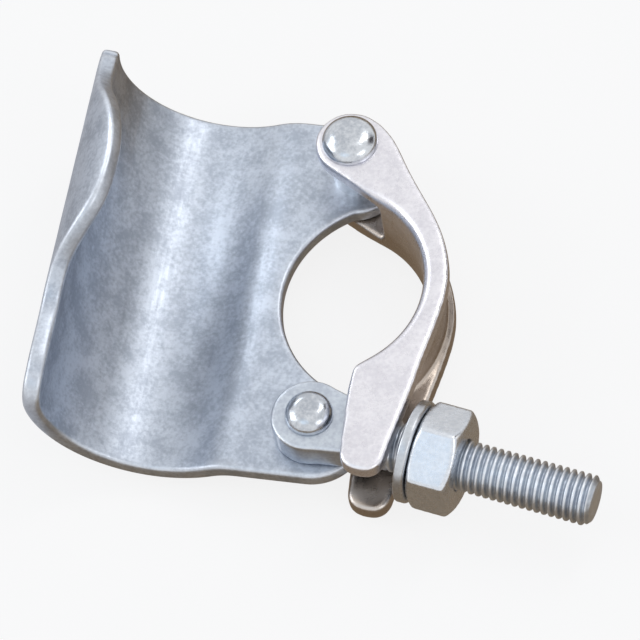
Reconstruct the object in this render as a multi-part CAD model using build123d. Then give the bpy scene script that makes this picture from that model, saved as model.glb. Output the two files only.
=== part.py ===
from build123d import *
import os
from math import acos, cos, degrees, radians, sin, tan

# Scaffold putlog coupler: a pressed plate whose curled trough holds the putlog tube,
# with a hinged flap and a swinging eye bolt that grip the ledger tube beside it.
#
# Frame, in millimetres: the putlog tube's axis is the Y axis, +X points from the putlog
# tube to the ledger tube, and +Z is the way the trough opens. The ledger tube runs along Z.

# Tubes that the coupler joins
tube_diameter = 48.3
seat_clearance = 0.15

# Pressed body plate
plate_thickness = 4.2
body_top = 46.5
body_bottom = -48.0
trough_depth = 4.6
joggle_radius = 12.0

# Curled lip over the putlog tube: how far its edge wraps round from the trough's bottom, in
# degrees, at each place along Y
tab_wrap = 147.0
wall_end_wrap = 85.0
tab_end_wrap = 100.0
lip_edge = [
    (-41.0, 100.0), (-24.0, 103.0), (-17.0, 114.0), (-11.5, 130.0), (-4.6, 142.0),
    (4.0, tab_wrap), (13.0, 145.0), (20.5, 138.0), (26.5, 129.0), (32.0, 117.0), (38.5, 107.0),
]

# Notch for the ledger tube and the two ears beside it
notch_clearance = 2.7
hinge_y = 33.2
hinge_ear_radius = 10.5
shoulder_x = 24.0
shoulder_round = 6.0
bolt_pivot_x = 35.0
bolt_pivot_y = -36.0

# Flap, a channel with two flanges, drawn closed past the tube as it is when nothing is clamped
flap_turn = 27.0
strap_thickness = 4.2
flange_thickness = 4.6
channel_gap = 15.0
lug_radius = 8.2
lug_lean = 62.0
lug_gap = 0.5
tube_to_lug_gap = 0.2
bend_round = 2.6
web_start_angle = 66.0
web_end_angle = -38.0
heel_angle = -60.0
heel_gap = 0.9

# Outer edge of the flap's flanges: angle round the seat, and height above it
flange_edge = [
    (75.0, 16.6), (64.0, 11.2), (51.0, 7.9), (37.0, 6.6), (22.0, 6.2), (6.0, 6.1), (-10.0, 6.1), (-24.0, 7.2),
]

# Fork at the flap's free end, measured along and across the bolt
fork_reach = 21.8
fork_width = 14.0
fork_tip_width = 9.4
fork_tip_drop = 13.2
fork_tip_round = 4.4
fork_shoulder = 12.5
slot_top = 6.0
knee_round = 3.0

# Rivets
rivet_diameter = 8.0
rivet_running_gap = 0.05
rivet_set_gap = 0.02
hinge_head_radius = 6.6
bolt_head_radius = 5.6
head_height = 3.6
tail_radius = 6.0
tail_height = 2.6
shoulder_radius = 5.4

# Profile of a rivet's head and tail, as shares of its radius and height
head_profile = [(1.0, 0.0), (0.95, 0.4), (0.5, 1.0)]

# Eye bolt, washer and nut
bolt_angle = 10.0
bolt_diameter = 12.0
bolt_length = 68.7
bolt_end_chamfer = 1.2
eye_radius = 9.0
eye_thickness = 8.0
eye_gap = 0.15
neck_length = 15.4
neck_overlap = 2.0
washer_gap = 2.3
washer_diameter = 24.0
washer_hole = 13.0
washer_thickness = 2.5
nut_gap = 0.1
nut_across_flats = 22.0
nut_thickness = 10.5
nut_chamfer_angle = 30.0
nut_face_margin = 0.4
thread_running_gap = 0.05

# How far cutting shapes reach past the material they cut
cut_margin = 1.0

# Sizes that follow from the ones above
tube_radius = tube_diameter / 2
seat_radius = tube_radius + seat_clearance
ledger_x = tube_diameter
rear_radius = seat_radius + plate_thickness
joggle_front = joggle_radius + plate_thickness
joggle_angle = degrees(acos((seat_radius + joggle_front - trough_depth) / (seat_radius + joggle_front)))
flat_z = trough_depth - seat_radius
rear_z = flat_z - plate_thickness
notch_radius = tube_radius + notch_clearance
bolt_ear_radius = bolt_pivot_y - body_bottom
eye_z = flat_z + eye_gap
bolt_z = eye_z + eye_thickness / 2
far_inner_z = rear_z - lug_gap
far_outer_z = far_inner_z - flange_thickness
near_inner_z = far_inner_z + channel_gap
near_outer_z = near_inner_z + flange_thickness
washer_start = fork_reach + washer_gap
nut_start = washer_start + washer_thickness + nut_gap
hinge_x = seat_radius + tube_to_lug_gap + lug_radius

hinge = Vector(hinge_x, hinge_y)
ledger = Vector(ledger_x, 0)
bolt_pivot = Vector(bolt_pivot_x, bolt_pivot_y)
bolt_along = Vector(cos(radians(bolt_angle)), -sin(radians(bolt_angle)))
bolt_across = Vector(sin(radians(bolt_angle)), cos(radians(bolt_angle)))
flap_centre = hinge + (ledger - hinge).rotate(Axis.Z, -flap_turn)
bolt_axis_plane = Plane(
    origin=(bolt_pivot_x, bolt_pivot_y, bolt_z),
    x_dir=(0, 0, 1),
    z_dir=(bolt_along.X, bolt_along.Y, 0),
)


def plan(sketch, low_z, high_z):
    """Solid of a plan outline between two heights."""
    return extrude(Pos(0, 0, low_z) * sketch, amount=high_z - low_z)


def disc(centre, radius):
    return Pos(centre.X, centre.Y) * Circle(radius)


def beside_bolt(along, across):
    """Plan point measured from the bolt's pivot, along and across the bolt."""
    return bolt_pivot + bolt_along * along + bolt_across * across


def around(centre, radius, angle):
    return centre + Vector(radius * cos(radians(angle)), radius * sin(radians(angle)))


def outline(points):
    return make_face(Polyline(*[(p.X, p.Y) for p in points], close=True))


def pressed_section():
    """Section of the plate across the trough: curled wall, trough, joggle and flat."""
    joggle_reach = seat_radius + joggle_front
    joggle_centre = (
        joggle_reach * sin(radians(joggle_angle)),
        -joggle_reach * cos(radians(joggle_angle)),
    )
    flat_end = bolt_pivot_x + bolt_ear_radius + cut_margin
    start = -90 - tab_wrap
    sweep = tab_wrap + joggle_angle
    front = CenterArc((0, 0), seat_radius, start, sweep)
    front_joggle = CenterArc(joggle_centre, joggle_front, 90 + joggle_angle, -joggle_angle)
    rear = CenterArc((0, 0), rear_radius, start, sweep)
    rear_joggle = CenterArc(joggle_centre, joggle_radius, 90 + joggle_angle, -joggle_angle)
    front_flat = Line(front_joggle @ 1, (flat_end, flat_z))
    end = Line((flat_end, flat_z), (flat_end, rear_z))
    rear_flat = Line((flat_end, rear_z), rear_joggle @ 1)
    tip = Line(rear @ 0, front @ 0)
    edges = [front, front_joggle, front_flat, end, rear_flat, rear_joggle, rear, tip]
    return make_face(edges)


def plate_outline():
    """Plan outline of the body: a plate with two ears and the ledger notch between them."""
    left = -rear_radius - cut_margin
    field = outline([
        Vector(left, body_bottom),
        Vector(bolt_pivot_x, body_bottom),
        bolt_pivot + (ledger - bolt_pivot).normalized() * bolt_ear_radius,
        hinge + (ledger - hinge).normalized() * hinge_ear_radius,
        Vector(shoulder_x, body_top),
        Vector(left, body_top),
    ])
    shoulder = disc(Vector(shoulder_x, body_top - shoulder_round), shoulder_round)
    hinge_ear = disc(hinge, hinge_ear_radius)
    top_ear = make_hull(shoulder.edges() + hinge_ear.edges())
    bolt_ear = disc(bolt_pivot, bolt_ear_radius)
    return field + top_ear + bolt_ear - disc(ledger, notch_radius)


def lip_waste():
    """What is trimmed from the curled wall, so that a rounded tab is left over the tube."""
    view_wrap = (wall_end_wrap + tab_wrap) / 2
    middle = seat_radius + plate_thickness / 2
    bottom = body_bottom - cut_margin
    top = body_top + cut_margin
    wraps = [(bottom, wall_end_wrap)] + lip_edge + [(top, tab_end_wrap)]
    edge = Spline(*[(y, -middle * sin(radians(wrap - view_wrap))) for y, wrap in wraps])
    low = -2 * rear_radius
    above = Polyline(edge @ 1, (top, low), (bottom, low), edge @ 0)
    normal = Vector(-sin(radians(view_wrap)), 0, -cos(radians(view_wrap)))
    side = Plane(origin=normal * (seat_radius / 3), x_dir=(0, 1, 0), z_dir=normal)
    return extrude(side * make_face([edge, above]), amount=rear_radius)


def rivet_hole(centre):
    hole = disc(centre, rivet_diameter / 2 + rivet_set_gap)
    return plan(hole, rear_z - cut_margin, flat_z + cut_margin)


def make_body():
    length = body_top - body_bottom
    section = Plane.XZ * pressed_section()
    sheet = Pos(0, body_top, 0) * extrude(section, amount=length)
    blank = plan(plate_outline(), -2 * rear_radius, 2 * rear_radius)
    body = sheet & blank
    body = body - lip_waste()
    return body - rivet_hole(hinge) - rivet_hole(bolt_pivot)


def flange_outline():
    """Plan outline of the flap's two flanges: hinge lug, curved arm and fork tine."""
    heel = around(flap_centre, seat_radius + heel_gap, heel_angle)
    slot_root = beside_bolt(fork_reach - fork_width, slot_top)
    shoulder = beside_bolt(fork_reach, fork_shoulder)
    back = [around(flap_centre, seat_radius + height, angle) for angle, height in flange_edge]
    back = Spline(*[(p.X, p.Y) for p in [around(hinge, lug_radius, lug_lean)] + back + [shoulder]])
    front = [
        shoulder,
        beside_bolt(fork_reach, -fork_tip_drop),
        beside_bolt(fork_reach - fork_tip_width, -fork_tip_drop),
        slot_root,
        heel,
        around(flap_centre, seat_radius, web_end_angle),
        flap_centre,
        around(flap_centre, seat_radius, web_start_angle),
        around(hinge, lug_radius, lug_lean + 180),
        around(hinge, lug_radius, lug_lean),
    ]
    arm = make_face([back, Polyline(*[(p.X, p.Y) for p in front])])
    arm = arm + disc(hinge, lug_radius) - disc(flap_centre, seat_radius)
    tips = arm.vertices().sort_by_distance(
        beside_bolt(fork_reach - fork_tip_width / 2, -fork_tip_drop)
    )[:2]
    arm = fillet(tips, fork_tip_round)
    for knee in (slot_root, heel):
        arm = fillet(arm.vertices().sort_by_distance(knee)[:1], knee_round)
    return arm


def web_zone():
    """Plan zone that stays solid between the flanges: the strap that bears on the ledger tube."""
    far = 2 * seat_radius
    middle_angle = (web_start_angle + web_end_angle) / 2
    sector = outline([flap_centre] + [
        around(flap_centre, far, angle)
        for angle in (web_start_angle, middle_angle, web_end_angle)
    ])
    inner_end = around(flap_centre, seat_radius - strap_thickness, web_end_angle)
    root = around(flap_centre, seat_radius - strap_thickness, heel_angle)
    outward = around(Vector(0, 0), 2 * strap_thickness, (web_end_angle + heel_angle) / 2)
    ramp = outline([inner_end, root, root + outward, inner_end + outward])
    return (disc(flap_centre, seat_radius + strap_thickness) & sector) + ramp


def bend_waste():
    """Ring round the seat's axis that leaves a flange's bend rounded, with the flange's face at z = 0."""
    inner = seat_radius - cut_margin
    outer = seat_radius + bend_round
    corner = make_face(Polyline(
        (inner, -bend_round), (outer, -bend_round), (outer, cut_margin), (inner, cut_margin), close=True
    ))
    return revolve(Plane.XZ * (corner - Pos(outer, -bend_round) * Circle(bend_round)), Axis.Z)


def make_flap():
    """Channel with its web against the tube and its two flanges turned outward."""
    channel = plan(flange_outline(), far_outer_z, near_outer_z)
    bend = bend_waste()
    near_bend = Pos(flap_centre.X, flap_centre.Y, near_outer_z) * bend
    far_bend = Pos(flap_centre.X, flap_centre.Y, far_outer_z) * Rot(180, 0, 0) * bend
    between = plan(disc(flap_centre, 4 * seat_radius) - web_zone(), far_inner_z, near_inner_z)
    lug_hole = disc(hinge, rivet_diameter / 2 + rivet_running_gap)
    lug_hole = plan(lug_hole, far_outer_z - cut_margin, near_outer_z + cut_margin)
    return channel - near_bend - far_bend - between - lug_hole


def rivet_head(radius, height):
    """Rivet head standing on z = 0."""
    side = [(radius * across, height * up) for across, up in head_profile]
    side = [(0, 0)] + side + [(0, height)]
    return revolve(Plane.XZ * make_face(Polyline(*side, close=True)), Axis.Z)


def make_rivet(centre, head_radius, head_z, tail_z, shoulder_top):
    """Headed rivet along Z with a set tail, and a shoulder above the plate where one is needed."""
    shank = plan(disc(centre, rivet_diameter / 2), tail_z, head_z)
    place = Pos(centre.X, centre.Y, head_z)
    rivet = shank + place * rivet_head(head_radius, head_height)
    tail = Pos(centre.X, centre.Y, tail_z) * Rot(180, 0, 0) * rivet_head(tail_radius, tail_height)
    rivet = rivet + tail
    if shoulder_top > flat_z:
        rivet = rivet + plan(disc(centre, shoulder_radius), flat_z, shoulder_top)
    return rivet


def make_hinge_rivet():
    return make_rivet(hinge, hinge_head_radius, near_outer_z + rivet_running_gap,
                      far_outer_z - rivet_running_gap, near_inner_z - rivet_running_gap)


def make_bolt_rivet():
    return make_rivet(bolt_pivot, bolt_head_radius, eye_z + eye_thickness + rivet_running_gap,
                      rear_z, flat_z)


def make_eye_bolt():
    """Bolt forged flat at one end into an eye, which lies on the plate."""
    radius = bolt_diameter / 2
    neck = outline([
        beside_bolt(0, eye_radius),
        beside_bolt(neck_length, radius),
        beside_bolt(neck_length + neck_overlap, radius),
        beside_bolt(neck_length + neck_overlap, -radius),
        beside_bolt(neck_length, -radius),
        beside_bolt(0, -eye_radius),
    ])
    eye = plan(disc(bolt_pivot, eye_radius) + neck, eye_z, eye_z + eye_thickness)
    shank = bolt_axis_plane * Pos(0, 0, neck_length) * Cylinder(
        radius, bolt_length - neck_length, align=(Align.CENTER, Align.CENTER, Align.MIN))
    end = beside_bolt(bolt_length, 0)
    tip = shank.edges().sort_by_distance((end.X, end.Y, bolt_z))[0]
    shank = chamfer(tip, bolt_end_chamfer)
    hole = disc(bolt_pivot, rivet_diameter / 2 + rivet_running_gap)
    hole = plan(hole, eye_z - cut_margin, eye_z + eye_thickness + cut_margin)
    return eye + shank - hole


def make_washer():
    ring = Circle(washer_diameter / 2) - Circle(washer_hole / 2)
    return extrude(bolt_axis_plane * Pos(0, 0, washer_start) * ring, amount=washer_thickness)


def make_nut():
    """Hexagon nut with both ends chamfered by a cone, and a plain bore for the thread."""
    corner_radius = nut_across_flats / 2 / cos(radians(30))
    flat_radius = nut_across_flats / 2 - nut_face_margin
    rise = (corner_radius - flat_radius) * tan(radians(nut_chamfer_angle))
    side = [
        (0, 0),
        (flat_radius, 0),
        (corner_radius, rise),
        (corner_radius, nut_thickness - rise),
        (flat_radius, nut_thickness),
        (0, nut_thickness),
    ]
    turned = revolve(Plane.XZ * make_face(Polyline(*side, close=True)), Axis.Z)
    prism = extrude(RegularPolygon(corner_radius, 6), amount=nut_thickness)
    bore = Cylinder(bolt_diameter / 2 + thread_running_gap, 4 * nut_thickness)
    return bolt_axis_plane * Pos(0, 0, nut_start) * (turned & prism - bore)


def write(node, shape):
    solids = shape.solids()
    part = solids[0] if len(solids) == 1 else Compound(children=list(solids))
    part.label = node
    export_step(part, f"parts/{node}.step")


def main():
    os.makedirs("parts", exist_ok=True)
    write("body_plate", make_body())
    write("flap", make_flap())
    write("hinge_rivet", make_hinge_rivet())
    write("bolt_rivet", make_bolt_rivet())
    write("eye_bolt", make_eye_bolt())
    write("washer", make_washer())
    write("nut", make_nut())


main()
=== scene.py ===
from math import acos, atan2, cos, hypot, pi, radians, sin

import bpy
import bmesh
from mathutils import Matrix, Vector
from mathutils import noise as smooth_noise
from mathutils.geometry import delaunay_2d_cdt


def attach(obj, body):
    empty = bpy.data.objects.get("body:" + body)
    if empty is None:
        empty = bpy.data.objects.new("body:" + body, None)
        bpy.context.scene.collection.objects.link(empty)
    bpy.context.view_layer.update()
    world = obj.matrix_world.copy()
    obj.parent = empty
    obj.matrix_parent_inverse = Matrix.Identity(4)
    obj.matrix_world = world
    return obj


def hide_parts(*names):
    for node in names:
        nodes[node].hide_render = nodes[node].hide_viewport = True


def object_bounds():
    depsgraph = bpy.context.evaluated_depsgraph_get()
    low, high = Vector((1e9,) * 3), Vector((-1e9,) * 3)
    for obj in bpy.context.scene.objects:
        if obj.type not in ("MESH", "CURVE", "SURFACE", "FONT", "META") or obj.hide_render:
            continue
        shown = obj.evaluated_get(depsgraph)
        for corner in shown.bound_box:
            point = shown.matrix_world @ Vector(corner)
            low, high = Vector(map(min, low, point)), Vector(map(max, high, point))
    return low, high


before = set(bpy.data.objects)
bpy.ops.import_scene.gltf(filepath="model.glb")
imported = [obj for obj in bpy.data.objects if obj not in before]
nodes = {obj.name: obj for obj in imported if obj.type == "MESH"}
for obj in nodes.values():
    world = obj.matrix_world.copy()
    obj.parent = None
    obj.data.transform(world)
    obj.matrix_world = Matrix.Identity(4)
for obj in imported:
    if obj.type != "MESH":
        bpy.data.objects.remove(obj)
cad_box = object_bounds()

# Sizes are millimetres in the CAD frame: Y is the putlog tube's axis, X points to the ledger tube
# and Z is the way the trough opens. MM turns them into metres.
MM = 0.001

# Body plate: one sheet with a trough, a joggle and a flat, and a lip on the trough's far wall
TROUGH_RADIUS = 24.3
JOGGLE_RADIUS = 16.2
FLAT_RISE = 4.6
SHEET = 4.2
SHEET_ROUND = 1.1
BODY_TOP = 46.5
BODY_BOTTOM = -48.0
TOP_CORNER = 2.0
LOW_CORNER = 7.0
FLAT_Z = FLAT_RISE - TROUGH_RADIUS

# The lip's edge: place along the trough, and degrees of wrap from the trough's bottom
LIP = [
    (-49.0, 85.0), (-41.0, 100.0), (-24.0, 103.0), (-17.0, 114.0), (-11.5, 130.0), (-4.6, 142.0),
    (4.0, 146.0), (13.0, 144.2), (20.5, 138.0), (26.5, 129.0), (32.0, 117.0), (38.5, 107.0), (47.5, 100.0),
]

# Rivets: centres in plan, heads, tails, and the faces that they are set against
HINGE_RIVET = (32.7, 33.2)
BOLT_RIVET = (35.0, -36.0)
HINGE_HEAD = 6.6
BOLT_HEAD = 5.6
HEAD_HEIGHT = 3.5
HEAD_DIMPLE = 0.35
RIVET_TAIL = 6.0
TAIL_HEIGHT = 2.5
TAIL_DIMPLE = 0.25
RIVET_SHANK = 4.0
FLAP_TOP_Z = -4.75
FLAP_BOTTOM_Z = -29.05
EYE_TOP_Z = -11.5
HINGE_SHOULDER = 5.4
SHOULDER_TOP_Z = -9.45

# The plate's outline on the flat, as circles (x, y, radius)
HINGE_EAR = (*HINGE_RIVET, 10.5)
BOLT_EAR = (*BOLT_RIVET, 12.0)
SHOULDER = (24.0, 40.5, 6.0)
NOTCH = (48.3, 0.0, 26.85)

# Bolt: its pivot, which way it points, and its thread, measured along it from the pivot
BOLT_PIVOT = Vector((35.0, -36.0, -15.55)) * MM
BOLT_ANGLE = radians(10.0)
BOLT_LENGTH = 68.7
BOLT_RADIUS = 6.0
SHANK_START = 16.0
END_CHAMFER = 1.3
THREAD_START = 19.5
THREAD_RUNOUT = 2.5
THREAD_PITCH = 1.75
THREAD_DEPTH = 1.05

# Washer: its two faces, measured along the bolt, its bore and its rim
WASHER_LOW = 24.1
WASHER_HIGH = 26.6
WASHER_BORE = 6.5
WASHER_RADIUS = 12.0
BORE_CHAMFER = 0.2
RIM_ROUND_LOW = 0.5
RIM_ROUND_HIGH = 0.7


# Materials

# How far edges are lightened, and to what colour: plating rubbed bright by handling, and partly a painted
# highlight on the rounded edges
EDGE_WEAR_AND_HIGHLIGHT = 0.75
RUBBED_AND_HIGHLIT = (0.93, 0.95, 0.98)

# Where Pointiness starts to count as an edge, and where it is fully one
EDGE_BLUNT = 0.51
EDGE_SHARP = 0.58

# Sizes of the plating's patterns, as noise scales for each millimetre
CLOUDS = 0.16
STREAKS = 0.5
CRYSTALS = 1.1
FINE_GRAIN = 4.5
BUMP_HEIGHT = 0.09
BUMP_STRENGTH = 0.35

# Painted shade low on the flap, where its far flange lies in the near one's shade: full below the first
# height, gone above the second, and wavering by the third
SHADE_FULL_Z = -22.0
SHADE_GONE_Z = -9.0
SHADE_WAVER = 2.0
PAINTED_SHADE = (0.46, 0.40, 0.35)


def add(tree, kind, **values):
    """Adds a shader node, with values for its sockets and settings."""
    node = tree.nodes.new(kind)
    for key, value in values.items():
        if key in node.inputs:
            node.inputs[key].default_value = value
        else:
            setattr(node, key, value)
    return node


def total(tree, first, second, clamp=False):
    """Sum of two sockets."""
    node = add(tree, "ShaderNodeMath", operation="ADD", use_clamp=clamp)
    tree.links.new(first, node.inputs[0])
    tree.links.new(second, node.inputs[1])
    return node.outputs[0]


def noise(tree, place, scale, detail, stretch=(1, 1, 1)):
    """Noise in the object's own millimetres, stretched along some axes."""
    mapping = add(tree, "ShaderNodeMapping")
    mapping.inputs["Scale"].default_value = [s / MM for s in stretch]
    tree.links.new(place, mapping.inputs["Vector"])
    node = add(tree, "ShaderNodeTexNoise", Scale=scale, Detail=detail, Roughness=0.6)
    tree.links.new(mapping.outputs[0], node.inputs["Vector"])
    return node.outputs["Fac"]


def ramp(tree, value, low, high, out_low, out_high):
    """Maps a value from one range to another."""
    node = add(tree, "ShaderNodeMapRange")
    settings = {"From Min": low, "From Max": high, "To Min": out_low, "To Max": out_high}
    for key, number in settings.items():
        node.inputs[key].default_value = number
    tree.links.new(value, node.inputs["Value"])
    return node.outputs["Result"]


def spread(tree, value, out_low, out_high):
    """Maps the middle of a noise's range, where it mostly stays, to another range."""
    return ramp(tree, value, 0.3, 0.7, out_low, out_high)


def blended(tree, value, dark, light):
    """Colour between dark and light, smoothly blended."""
    node = add(tree, "ShaderNodeValToRGB")
    node.color_ramp.interpolation = "EASE"
    for element, colour in zip(node.color_ramp.elements, (dark, light)):
        element.color = (*colour, 1)
    tree.links.new(value, node.inputs[0])
    return node.outputs["Color"]


def covered(tree, colour, cover, share):
    """A colour socket partly covered by a plain colour; a Mix node's colour sockets go by number."""
    node = add(tree, "ShaderNodeMix", data_type="RGBA")
    tree.links.new(share, node.inputs["Factor"])
    tree.links.new(colour, node.inputs[6])
    node.inputs[7].default_value = (*cover, 1)
    return node.outputs[2]


def painted_low_shade(tree, place, clouds, colour):
    """Painted shade: a warmer, darker colour low on the piece, with an uneven edge."""
    split = add(tree, "ShaderNodeSeparateXYZ")
    tree.links.new(place, split.inputs[0])
    waver = spread(tree, clouds, -SHADE_WAVER * MM, SHADE_WAVER * MM)
    height = total(tree, split.outputs["Z"], waver)
    share = ramp(tree, height, SHADE_FULL_Z * MM, SHADE_GONE_Z * MM, 1.0, 0.0)
    return covered(tree, colour, PAINTED_SHADE, share)


def zinc(name, dark, light, rough, grain, mottle, streak=(1, 1, 1), low_shade=False):
    """Bright zinc plate: metal with cloudy mottling, fine crystal grain and rolling streaks."""
    material = bpy.data.materials.new(name + "_plated")
    material.use_nodes = True
    tree = material.node_tree
    tree.nodes.clear()
    out = add(tree, "ShaderNodeOutputMaterial")
    shader = add(tree, "ShaderNodeBsdfPrincipled", Metallic=1.0)
    place = add(tree, "ShaderNodeTexCoord").outputs["Object"]
    clouds = noise(tree, place, CLOUDS, 4.0)
    crystals = noise(tree, place, CRYSTALS, 3.0)
    fine = noise(tree, place, FINE_GRAIN, 2.0)
    streaks = noise(tree, place, STREAKS, 3.0, streak)

    cloudy = spread(tree, clouds, -0.5 * mottle, 0.5 * mottle)
    patches = total(tree, cloudy, spread(tree, crystals, 0.15, 0.85))
    colour = blended(tree, patches, dark, light)
    # Painted shade: a warm dark colour over the low surfaces, where they lie in shade
    if low_shade:
        colour = painted_low_shade(tree, place, clouds, colour)
    # Lighter edges: rubbed plating, and partly a painted highlight along them
    pointiness = add(tree, "ShaderNodeNewGeometry").outputs["Pointiness"]
    worn_and_highlit = ramp(tree, pointiness, EDGE_BLUNT, EDGE_SHARP, 0.0, EDGE_WEAR_AND_HIGHLIGHT)
    tree.links.new(covered(tree, colour, RUBBED_AND_HIGHLIT, worn_and_highlit), shader.inputs["Base Color"])

    streaky = spread(tree, streaks, rough - 0.05, rough + 0.06)
    roughness = total(tree, streaky, spread(tree, fine, -0.04, 0.05))
    tree.links.new(roughness, shader.inputs["Roughness"])

    height = total(tree, ramp(tree, crystals, 0.0, 1.0, 0.0, 0.6), ramp(tree, fine, 0.0, 1.0, 0.0, 0.4))
    bump = add(tree, "ShaderNodeBump", Strength=BUMP_STRENGTH, Distance=BUMP_HEIGHT * MM * grain)
    tree.links.new(height, bump.inputs["Height"])
    tree.links.new(bump.outputs[0], shader.inputs["Normal"])
    tree.links.new(shader.outputs[0], out.inputs["Surface"])
    return material


body_zinc = zinc("body_zinc", (0.36, 0.40, 0.47), (0.53, 0.58, 0.66),
                 rough=0.40, grain=1.3, mottle=0.9, streak=(2.0, 0.15, 2.0))
# The flap's colour carries painted shade low down
flap_zinc = zinc("flap_zinc", (0.67, 0.66, 0.71), (0.79, 0.78, 0.82),
                 rough=0.30, grain=0.8, mottle=0.6, low_shade=True)
rivet_zinc = zinc("rivet_zinc", (0.41, 0.44, 0.49), (0.62, 0.65, 0.69), rough=0.19, grain=1.2, mottle=0.8)
bolt_zinc = zinc("bolt_zinc", (0.43, 0.47, 0.54), (0.57, 0.62, 0.68), rough=0.38, grain=0.8, mottle=0.7)
washer_zinc = zinc("washer_zinc", (0.38, 0.40, 0.44), (0.51, 0.54, 0.58), rough=0.30, grain=0.8, mottle=0.8)
nut_zinc = zinc("nut_zinc", (0.60, 0.64, 0.70), (0.72, 0.75, 0.80), rough=0.28, grain=0.6, mottle=0.3)


# Pieces and meshes

def add_object(name, data):
    thing = bpy.data.objects.new(name, data)
    bpy.context.scene.collection.objects.link(thing)
    return thing


def dress(thing, material):
    thing.data.materials.clear()
    thing.data.materials.append(material)


def add_piece(name, mesh, body, material):
    """A piece of the object that rides a body; its slot has its material's name."""
    piece = add_object(name, mesh)
    dress(piece, material)
    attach(piece, body)
    return piece


def build_piece(name, vertices, faces, body, material, crease=None):
    """A smooth piece from points and faces; edges sharper than crease degrees stay sharp."""
    mesh = bpy.data.meshes.new(name)
    mesh.from_pydata(vertices, [], faces)
    mesh.update()
    mesh.shade_smooth()
    if crease:
        mesh.set_sharp_from_angle(angle=radians(crease))
    return add_piece(name, mesh, body, material)


def soften(thing, voxel, passes):
    """Rounds all of an object's edges, as forging and pressing leave them: an even mesh, then smoothing."""
    even = thing.modifiers.new("even", "REMESH")
    even.mode = "VOXEL"
    even.voxel_size = voxel * MM
    even.use_smooth_shade = True
    smooth = thing.modifiers.new("round", "SMOOTH")
    smooth.factor = 0.5
    smooth.iterations = passes


def lathe(profile, place, segments):
    """Closed solid turned from (radius, height) points; the ends may lie on the axis."""
    vertices, rings = [], []
    for radius, height in profile:
        if radius < 1e-6:
            rings.append([len(vertices)])
            vertices.append(place @ Vector((0, 0, height * MM)))
            continue
        circle = []
        for i in range(segments):
            turn = 2 * pi * i / segments
            circle.append(len(vertices))
            point = Vector((radius * cos(turn), radius * sin(turn), height)) * MM
            vertices.append(place @ point)
        rings.append(circle)
    pairs = list(zip(rings, rings[1:]))
    if len(rings[0]) > 1:
        pairs.append((rings[-1], rings[0]))
    faces = []
    for lower, upper in pairs:
        for i in range(segments):
            j = (i + 1) % segments
            if len(lower) == 1:
                faces.append((lower[0], upper[j], upper[i]))
            elif len(upper) == 1:
                faces.append((lower[i], lower[j], upper[0]))
            else:
                faces.append((lower[i], lower[j], upper[j], upper[i]))
    return vertices, faces


def arc(centre_radius, centre_height, radius, start, end, steps):
    """Points of an arc in (radius, height), angles in degrees."""
    turns = [radians(start + (end - start) * i / steps) for i in range(steps + 1)]
    return [(centre_radius + radius * cos(turn), centre_height + radius * sin(turn)) for turn in turns]


# Rivets

def dome(radius, height, base, dimple):
    """Profile of a set rivet head above a base height: a chamfered rim, a dome and a small dimple."""
    chamfer = 0.35
    rim = 0.3
    fullness = 0.8
    dimple_radius = 2.2
    steps = 10
    points = [(radius - chamfer, base), (radius, base + rim)]
    for i in range(1, steps):
        turn = radians(90 * i / steps)
        points.append((radius * cos(turn) ** fullness, base + rim + (height - rim) * sin(turn)))
    points = [(r, z - dimple * max(0.0, 1 - (r / dimple_radius) ** 2)) for r, z in points]
    points.append((0, base + height - dimple))
    return points


def rivet(name, node, centre, head, head_z, tail_z, shoulder=()):
    """One rivet, from the middle of its tail to the middle of its head."""
    tail = [(r, 2 * tail_z - z) for r, z in dome(RIVET_TAIL, TAIL_HEIGHT, tail_z, TAIL_DIMPLE)]
    profile = tail[::-1] + [(RIVET_SHANK, tail_z)]
    profile += shoulder
    profile += [(RIVET_SHANK, head_z)] + dome(head, HEAD_HEIGHT, head_z, HEAD_DIMPLE)
    place = Matrix.Translation(Vector((*centre, 0)) * MM)
    vertices, faces = lathe(profile, place, segments=56)
    piece = build_piece(name, vertices, faces, "body", rivet_zinc, crease=40)
    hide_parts(node)


hinge_shoulder = [
    (RIVET_SHANK, FLAT_Z), (HINGE_SHOULDER, FLAT_Z),
    (HINGE_SHOULDER, SHOULDER_TOP_Z), (RIVET_SHANK, SHOULDER_TOP_Z),
]
rivet("hinge_rivet_set", "hinge_rivet", HINGE_RIVET, HINGE_HEAD, FLAP_TOP_Z, FLAP_BOTTOM_Z, hinge_shoulder)
rivet("bolt_rivet_set", "bolt_rivet", BOLT_RIVET, BOLT_HEAD, EYE_TOP_Z, FLAT_Z - SHEET)


# Body plate

# The sheet is drawn flat, as (s along the section from the trough's bottom, y along the trough), and
# then bent. Its joggle curves back from the trough's circle to the flat.
joggle_reach = TROUGH_RADIUS + JOGGLE_RADIUS
joggle_angle = acos((joggle_reach - FLAT_RISE) / joggle_reach)
flat_x = joggle_reach * sin(joggle_angle)
flat_s = joggle_reach * joggle_angle


def bent(s, y, depth):
    """Point of the bent sheet, a depth below its front face."""
    if s < TROUGH_RADIUS * joggle_angle:
        turn = s / TROUGH_RADIUS
        normal = (-sin(turn), cos(turn))
        x = TROUGH_RADIUS * sin(turn)
        z = -TROUGH_RADIUS * cos(turn)
    elif s < flat_s:
        turn = joggle_angle - (s - TROUGH_RADIUS * joggle_angle) / JOGGLE_RADIUS
        normal = (-sin(turn), cos(turn))
        x = flat_x + JOGGLE_RADIUS * normal[0]
        z = -joggle_reach * cos(joggle_angle) + JOGGLE_RADIUS * normal[1]
    else:
        normal = (0.0, 1.0)
        x = flat_x + s - flat_s
        z = FLAT_Z
    return Vector((x - normal[0] * depth, y, z - normal[1] * depth)) * MM


def on_sheet(x):
    """Where a place on the flat lies along the unbent section."""
    return x - flat_x + flat_s


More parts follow.
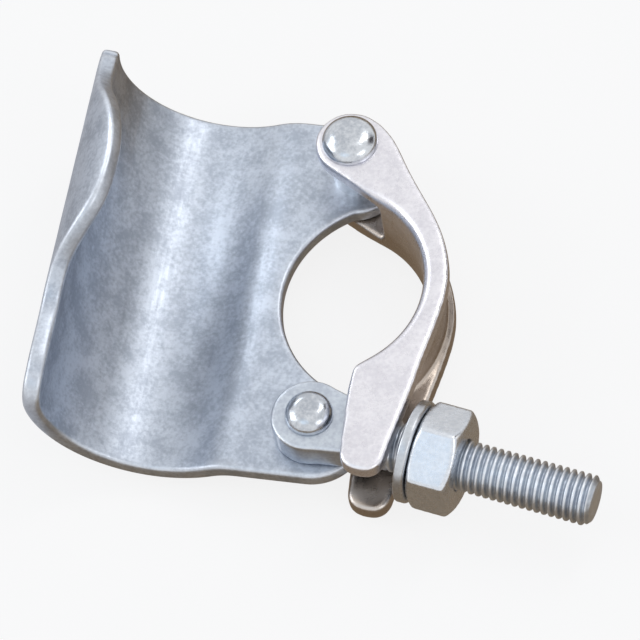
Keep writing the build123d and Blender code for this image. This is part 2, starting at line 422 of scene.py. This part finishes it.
def lip_edge(y):
    """Where the lip's edge lies along the unbent section: a smooth curve through the lip's points."""
    for i in range(len(LIP) - 1):
        if y <= LIP[i + 1][0]:
            break
    (y0, wrap0), (y1, wrap1) = LIP[i], LIP[i + 1]
    before = LIP[max(i - 1, 0)]
    after = LIP[min(i + 2, len(LIP) - 1)]
    slope0 = (wrap1 - before[1]) / (y1 - before[0]) * (y1 - y0)
    slope1 = (after[1] - wrap0) / (after[0] - y0) * (y1 - y0)
    t = (y - y0) / (y1 - y0)
    wrap = ((2 * t ** 3 - 3 * t ** 2 + 1) * wrap0 + (t ** 3 - 2 * t ** 2 + t) * slope0
            + (3 * t ** 2 - 2 * t ** 3) * wrap1 + (t ** 3 - t ** 2) * slope1)
    return -TROUGH_RADIUS * radians(wrap)


def plan_arc(circle, start, end):
    """Points of an arc on the flat, about a millimetre apart."""
    x, y, radius = circle
    steps = max(4, int(abs(end - start) * radius))
    turns = [start + (end - start) * i / steps for i in range(steps + 1)]
    return [(on_sheet(x + radius * cos(turn)), y + radius * sin(turn)) for turn in turns]


def crossings(first, second):
    """The two points where two circles cross."""
    dx = second[0] - first[0]
    dy = second[1] - first[1]
    gap = hypot(dx, dy)
    reach = (gap ** 2 + first[2] ** 2 - second[2] ** 2) / (2 * gap)
    half = max(0.0, first[2] ** 2 - reach ** 2) ** 0.5
    return [
        (first[0] + (dx * reach - dy * off) / gap, first[1] + (dy * reach + dx * off) / gap)
        for off in (half, -half)
    ]


def heading(circle, point):
    """Direction from a circle's centre to a point."""
    return atan2(point[1] - circle[1], point[0] - circle[0])


def left_corner(s, y, radius, up):
    """Quarter round at a left corner of the sheet, the upper one if up is 1 and the lower if -1."""
    steps = 8
    start = pi / 2 if up > 0 else pi
    turns = [start + pi / 2 * i / steps for i in range(steps + 1)]
    return [(s + radius + radius * cos(turn), y - up * radius + radius * sin(turn)) for turn in turns]


def sheet_outline():
    """Outline of the unbent sheet: lower edge, bolt ear, notch, hinge ear, shoulder, upper edge and lip."""
    start_x = 20
    edge_step = 1.0
    lip_step = 0.8
    bolt_side = max(crossings(BOLT_EAR, NOTCH))
    hinge_side = min(crossings(HINGE_EAR, NOTCH))
    points = [(on_sheet(x), BODY_BOTTOM) for x in range(start_x, int(BOLT_RIVET[0]))]
    points += plan_arc(BOLT_EAR, -pi / 2, heading(BOLT_EAR, bolt_side))
    points += plan_arc(NOTCH, heading(NOTCH, bolt_side), heading(NOTCH, hinge_side) - 2 * pi)[1:]
    dx = SHOULDER[0] - HINGE_EAR[0]
    dy = SHOULDER[1] - HINGE_EAR[1]
    tangent = atan2(dy, dx) - acos((HINGE_EAR[2] - SHOULDER[2]) / hypot(dx, dy))
    points += plan_arc(HINGE_EAR, heading(HINGE_EAR, hinge_side), tangent)[1:]
    points += plan_arc(SHOULDER, tangent, pi / 2)
    left_top = lip_edge(BODY_TOP)
    s = on_sheet(SHOULDER[0]) - edge_step
    while s > left_top + TOP_CORNER + edge_step / 2:
        points.append((s, BODY_TOP))
        s -= edge_step
    points += left_corner(left_top, BODY_TOP, TOP_CORNER, 1)
    y = BODY_TOP - TOP_CORNER - edge_step
    while y > BODY_BOTTOM + LOW_CORNER + edge_step:
        points.append((lip_edge(y), y))
        y -= lip_step
    left_low = lip_edge(BODY_BOTTOM + LOW_CORNER)
    points += left_corner(left_low, BODY_BOTTOM, LOW_CORNER, -1)
    s = left_low + LOW_CORNER + edge_step
    while s < points[0][0] - edge_step / 2:
        points.append((s, BODY_BOTTOM))
        s += edge_step
    return points


def inset(points, distance):
    """The outline moved inward along each point's own normal."""
    moved = []
    for i, (s, y) in enumerate(points):
        before = points[i - 1]
        after = points[(i + 1) % len(points)]
        ds = after[0] - before[0]
        dy = after[1] - before[1]
        size = hypot(ds, dy)
        moved.append((s - dy / size * distance, y + ds / size * distance))
    return moved


def cap(edge):
    """Points and triangles that fill an outline, on an even grid; the outline's own points come first."""
    grid = 1.9
    margin = 0.9
    inner = inset(edge, margin)
    spots = []
    for row in range(int((BODY_TOP - BODY_BOTTOM) / grid)):
        y = BODY_BOTTOM + (row + 0.5) * grid
        cuts = []
        for (s0, y0), (s1, y1) in zip(inner, inner[1:] + inner[:1]):
            if (y0 > y) != (y1 > y):
                cuts.append(s0 + (y - y0) / (y1 - y0) * (s1 - s0))
        cuts.sort()
        for start, end in zip(cuts[::2], cuts[1::2]):
            count = max(1, int((end - start) / grid))
            spots += [(start + (end - start) * (i + 0.5) / count, y) for i in range(count)]
    points = [Vector(p) for p in edge + spots]
    rim = [(i, (i + 1) % len(edge)) for i in range(len(edge))]
    found = delaunay_2d_cdt(points, rim, [], 1, 1e-6)
    return [tuple(p) for p in found[0]], found[2]


def press_wave(s, y):
    """Slight unevenness that pressing leaves in the sheet's front face."""
    height = 0.16
    along_section = 0.035
    along_trough = 0.028
    level = 3.7
    return height * smooth_noise.noise(Vector((s * along_section, y * along_trough, level)))


def body_plate():
    """The sheet: rows of points round its rounded edge, then a cap on its front and one on its back."""
    edge = sheet_outline()
    count = len(edge)
    steps = 4
    turns = [pi / 2 * i / steps for i in range(steps + 1)]
    front_round = [(SHEET_ROUND * (1 - sin(turn)), SHEET_ROUND * (1 - cos(turn))) for turn in turns]
    profile = front_round + [(inward, SHEET - depth) for inward, depth in front_round[::-1]]
    vertices, faces = [], []
    for inward, depth in profile:
        vertices += [bent(s, y, depth) for s, y in inset(edge, inward)]
    for row in range(len(profile) - 1):
        a = row * count
        b = a + count
        for i in range(count):
            j = (i + 1) % count
            faces.append((a + i, b + i, b + j, a + j))
    spots, triangles = cap(inset(edge, SHEET_ROUND))
    extra = spots[count:]
    for is_front in (True, False):
        rim_start = 0 if is_front else (len(profile) - 1) * count
        extra_start = len(vertices)
        if is_front:
            vertices += [bent(s, y, -press_wave(s, y)) for s, y in extra]
        else:
            vertices += [bent(s, y, SHEET) for s, y in extra]
        for triangle in triangles:
            corners = [rim_start + k if k < count else extra_start + k - count for k in triangle]
            faces.append(corners if is_front else corners[::-1])
    piece = build_piece("body_pressed", vertices, faces, "body", body_zinc)
    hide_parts("body_plate")


body_plate()


# Eye bolt

# Along the bolt, and across it in plan; bolt_place sets a turned shape's own axis along the bolt
bolt_along = Vector((cos(BOLT_ANGLE), -sin(BOLT_ANGLE), 0))
bolt_across = Vector((sin(BOLT_ANGLE), cos(BOLT_ANGLE), 0))
bolt_turn = Matrix((bolt_across, Vector((0, 0, 1)), bolt_along)).transposed().to_4x4()
bolt_place = Matrix.Translation(BOLT_PIVOT) @ bolt_turn


def thread_radius(distance, turn):
    """Radius of the threaded shank, along it and round it."""
    root_flat = 0.1
    flank = 0.72
    gap = 0.05
    share = (distance / THREAD_PITCH - turn / (2 * pi)) % 1.0
    ridge = 1 - abs(2 * share - 1)
    ridge = min(1.0, max(0.0, (ridge - root_flat) / flank))
    ridge = ridge * ridge * (3 - 2 * ridge)
    run = min(1.0, max(0.0, (distance - THREAD_START) / THREAD_RUNOUT))
    radius = BOLT_RADIUS - gap - THREAD_DEPTH * (1 - ridge) * run
    to_end = BOLT_LENGTH - distance
    return min(radius, BOLT_RADIUS - END_CHAMFER + to_end)


def threaded_shank():
    """The shank as rings of points along the bolt, closed at both ends."""
    segments = 48
    rings_a_turn = 10
    length = BOLT_LENGTH - SHANK_START
    count = int(length / (THREAD_PITCH / rings_a_turn))
    step = length / count
    vertices = [bolt_place @ Vector((0, 0, SHANK_START * MM))]
    faces = []
    for row in range(count + 1):
        distance = SHANK_START + row * step
        for i in range(segments):
            turn = 2 * pi * i / segments
            radius = thread_radius(distance, turn)
            point = Vector((radius * cos(turn), radius * sin(turn), distance)) * MM
            vertices.append(bolt_place @ point)
    vertices.append(bolt_place @ Vector((0, 0, BOLT_LENGTH * MM)))
    last = len(vertices) - 1
    for i in range(segments):
        j = (i + 1) % segments
        faces.append((0, 1 + j, 1 + i))
        faces.append((last, last - segments + i, last - segments + j))
        for row in range(count):
            a = 1 + row * segments
            b = a + segments
            faces.append((a + i, a + j, b + j, b + i))
    build_piece("bolt_shank", vertices, faces, "bolt", bolt_zinc, crease=55)


def forged_eye():
    """The flat eye and its neck: the CAD bolt's own end, cut off just inside the round shank."""
    overlap = 1.0
    mesh = nodes["eye_bolt"].data.copy()
    mesh.name = "bolt_eye"
    work = bmesh.new()
    work.from_mesh(mesh)
    bmesh.ops.remove_doubles(work, verts=work.verts, dist=1e-6)
    cut = BOLT_PIVOT + bolt_along * ((SHANK_START + overlap) * MM)
    everything = work.verts[:] + work.edges[:] + work.faces[:]
    bmesh.ops.bisect_plane(work, geom=everything, plane_co=cut, plane_no=bolt_along, clear_outer=True)
    rim = [edge for edge in work.edges if edge.is_boundary]
    bmesh.ops.contextual_create(work, geom=rim)
    work.to_mesh(mesh)
    work.free()
    piece = add_piece("bolt_eye", mesh, "bolt", bolt_zinc)
    soften(piece, voxel=0.4, passes=24)
    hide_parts("eye_bolt")


threaded_shank()
forged_eye()


# Washer

washer_bore_edge = WASHER_BORE + BORE_CHAMFER
washer_profile = (
    [(WASHER_BORE, WASHER_LOW + BORE_CHAMFER), (washer_bore_edge, WASHER_LOW)]
    + [(WASHER_RADIUS - RIM_ROUND_LOW, WASHER_LOW)]
    + arc(WASHER_RADIUS - RIM_ROUND_LOW, WASHER_LOW + RIM_ROUND_LOW, RIM_ROUND_LOW, -60, 0, 3)
    + arc(WASHER_RADIUS - RIM_ROUND_HIGH, WASHER_HIGH - RIM_ROUND_HIGH, RIM_ROUND_HIGH, 0, 90, 4)
    + [(washer_bore_edge, WASHER_HIGH), (WASHER_BORE, WASHER_HIGH - BORE_CHAMFER)]
)
washer_vertices, washer_faces = lathe(washer_profile, bolt_place, segments=64)
washer = build_piece("washer_pressed", washer_vertices, washer_faces, "washer", washer_zinc, crease=50)
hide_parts("washer")


# Flap and nut

def rounded(name, node, body, material, voxel, passes):
    """A node's own shape with its edges rounded."""
    piece = add_piece(name, nodes[node].data.copy(), body, material)
    soften(piece, voxel, passes)
    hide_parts(node)


rounded("flap_pressed", "flap", "flap", flap_zinc, voxel=0.45, passes=24)
rounded("nut_forged", "nut", "nut", nut_zinc, voxel=0.35, passes=18)


# Stage, in metres

FLOOR_Z = cad_box[0].z
FLOOR_SIZE = 8.0
FLOOR_GREY = (0.9, 0.9, 0.9, 1)
FLOOR_WHITENESS = 0.84
FLOOR_CARD_Z = FLOOR_Z + 0.0002
WHITE = (1, 1, 1, 1)
STUDIO_GREY = (0.52, 0.54, 0.58, 1)

# Cards that only reflections see: name, centre, the point it faces, width, height, colour and strength
CARDS = [
    ("card_notch", (-0.034, 0.046, 0.058), (0.016, 0.0, -0.02), 0.040, 0.022, (0.92, 0.96, 1.0), 4.6),
    ("card_nut", (-0.033, -0.159, 0.243), (0.066, -0.042, -0.015), 0.12, 0.12, (0.80, 0.90, 1.0), 1.3),
    ("card_right", (0.19, 0.12, 0.09), (-0.015, 0.0, -0.01), 0.09, 0.12, (0.10, 0.09, 0.095), 1.0),
    ("card_low", (0.77, 0, FLOOR_CARD_Z), (0.77, 0, 1), 1.6, 1.6, (0.27, 0.21, 0.15), 1.0),
    ("card_left", (-0.83, 0, FLOOR_CARD_Z), (-0.83, 0, 1), 1.6, 1.6, (0.56, 0.55, 0.56), 1.0),
]

# Soft lamps that face the middle: name, direction to it, distance, width, height, power and colour
LAMPS = [
    ("strip_over_trough", (0.36, 0.48, 0.80), 0.9, 0.20, 0.40, 0.85, (1.0, 0.98, 0.96)),
    ("left_window", (-0.9, -0.1, 0.6), 1.0, 0.5, 0.5, 1.8, (0.93, 0.96, 1.0)),
    ("right_fill", (0.9, -0.5, 0.9), 1.2, 0.4, 0.4, 0.9, (0.97, 0.98, 1.0)),
]


def shown_rays(tree):
    """1 for the rays that show the background: the camera's, a reflection's and those through glass."""
    rays = add(tree, "ShaderNodeLightPath").outputs
    seen = total(tree, rays["Is Camera Ray"], rays["Is Glossy Ray"])
    return total(tree, seen, rays["Is Transmission Ray"], clamp=True)


def mixed_shader(tree, share, first, second, out):
    """Links an output to a mix of two shaders."""
    mixed = add(tree, "ShaderNodeMixShader")
    tree.links.new(share, mixed.inputs[0])
    tree.links.new(first.outputs[0], mixed.inputs[1])
    tree.links.new(second.outputs[0], mixed.inputs[2])
    tree.links.new(mixed.outputs[0], out.inputs["Surface"])


def empty_material(name):
    """A material with nothing but its output node."""
    material = bpy.data.materials.new(name)
    material.use_nodes = True
    tree = material.node_tree
    tree.nodes.clear()
    return material, tree, add(tree, "ShaderNodeOutputMaterial")


def glowing(name, colour, strength):
    material, tree, out = empty_material(name)
    shader = add(tree, "ShaderNodeEmission", Color=(*colour, 1), Strength=strength)
    tree.links.new(shader.outputs[0], out.inputs["Surface"])
    return material


def floor_white():
    """Pale floor that is seen part white, so that its shadow stays soft."""
    material, tree, out = empty_material("floor_white")
    matte = add(tree, "ShaderNodeBsdfDiffuse", Color=FLOOR_GREY)
    glow = add(tree, "ShaderNodeEmission", Color=WHITE, Strength=1.0)
    share = ramp(tree, shown_rays(tree), 0, 1, 0, FLOOR_WHITENESS)
    mixed_shader(tree, share, matte, glow, out)
    return material


def stage_plane(name, centre, facing, width, height, material):
    """Rectangle centred on a point and facing another."""
    mesh = bpy.data.meshes.new(name)
    x = width / 2
    y = height / 2
    mesh.from_pydata([(-x, -y, 0), (x, -y, 0), (x, y, 0), (-x, y, 0)], [], [(0, 1, 2, 3)])
    plane = add_object(name, mesh)
    plane.location = centre
    plane.rotation_mode = "QUATERNION"
    plane.rotation_quaternion = (Vector(facing) - Vector(centre)).to_track_quat("Z", "Y")
    dress(plane, material)
    return plane


def lamp(name, direction, distance, width, height, power, colour):
    light = bpy.data.lights.new(name, "AREA")
    light.shape = "RECTANGLE"
    light.size = width
    light.size_y = height
    light.energy = power
    light.color = colour
    holder = add_object(name, light)
    holder.location = Vector(direction).normalized() * distance
    holder.rotation_mode = "QUATERNION"
    holder.rotation_quaternion = Vector(direction).to_track_quat("Z", "Y")


stage_plane("floor", (0, 0, FLOOR_Z), (0, 0, 1), FLOOR_SIZE, FLOOR_SIZE, floor_white())
for name, direction, distance, width, height, power, colour in LAMPS:
    lamp(name, direction, distance, width, height, power, colour)
for name, centre, facing, width, height, colour, strength in CARDS:
    card = stage_plane(name, centre, facing, width, height, glowing(name, colour, strength))
    card.visible_camera = False
    card.visible_diffuse = False
    card.visible_shadow = False
    card.visible_transmission = False


# World

def studio_world():
    """White where it is seen, in reflections too, and a soft grey light elsewhere."""
    world = bpy.data.worlds.new("studio")
    bpy.context.scene.world = world
    world.use_nodes = True
    tree = world.node_tree
    tree.nodes.clear()
    out = add(tree, "ShaderNodeOutputWorld")
    studio = add(tree, "ShaderNodeBackground", Color=STUDIO_GREY, Strength=1.0)
    white = add(tree, "ShaderNodeBackground", Color=WHITE, Strength=1.0)
    mixed_shader(tree, shown_rays(tree), studio, white, out)


studio_world()


# Camera

# Fitted to where the rivets, the notch, the trough's ends, the bolt's end and the nut are in the photo
CAMERA_PLACE = Vector((232.17, -552.53, 964.2)) * MM
CAMERA_RIGHT = Vector((0.97866, 0.17938, -0.10027))
CAMERA_UP = Vector((-0.10654, 0.86010, 0.49887))
CAMERA_BACK = Vector((0.17573, -0.47754, 0.86085))
SENSOR_WIDTH = 36.0
FOCAL_LENGTH = 276.8

camera_data = bpy.data.cameras.new("camera")
camera_data.sensor_width = SENSOR_WIDTH
camera_data.lens = FOCAL_LENGTH
camera_data.clip_start = 0.05
camera_data.clip_end = 50.0
camera = add_object("camera", camera_data)
camera_turn = Matrix((CAMERA_RIGHT, CAMERA_UP, CAMERA_BACK)).transposed().to_4x4()
camera.matrix_world = Matrix.Translation(CAMERA_PLACE) @ camera_turn
bpy.context.scene.camera = camera
bpy.context.scene.view_settings.view_transform = "Standard"
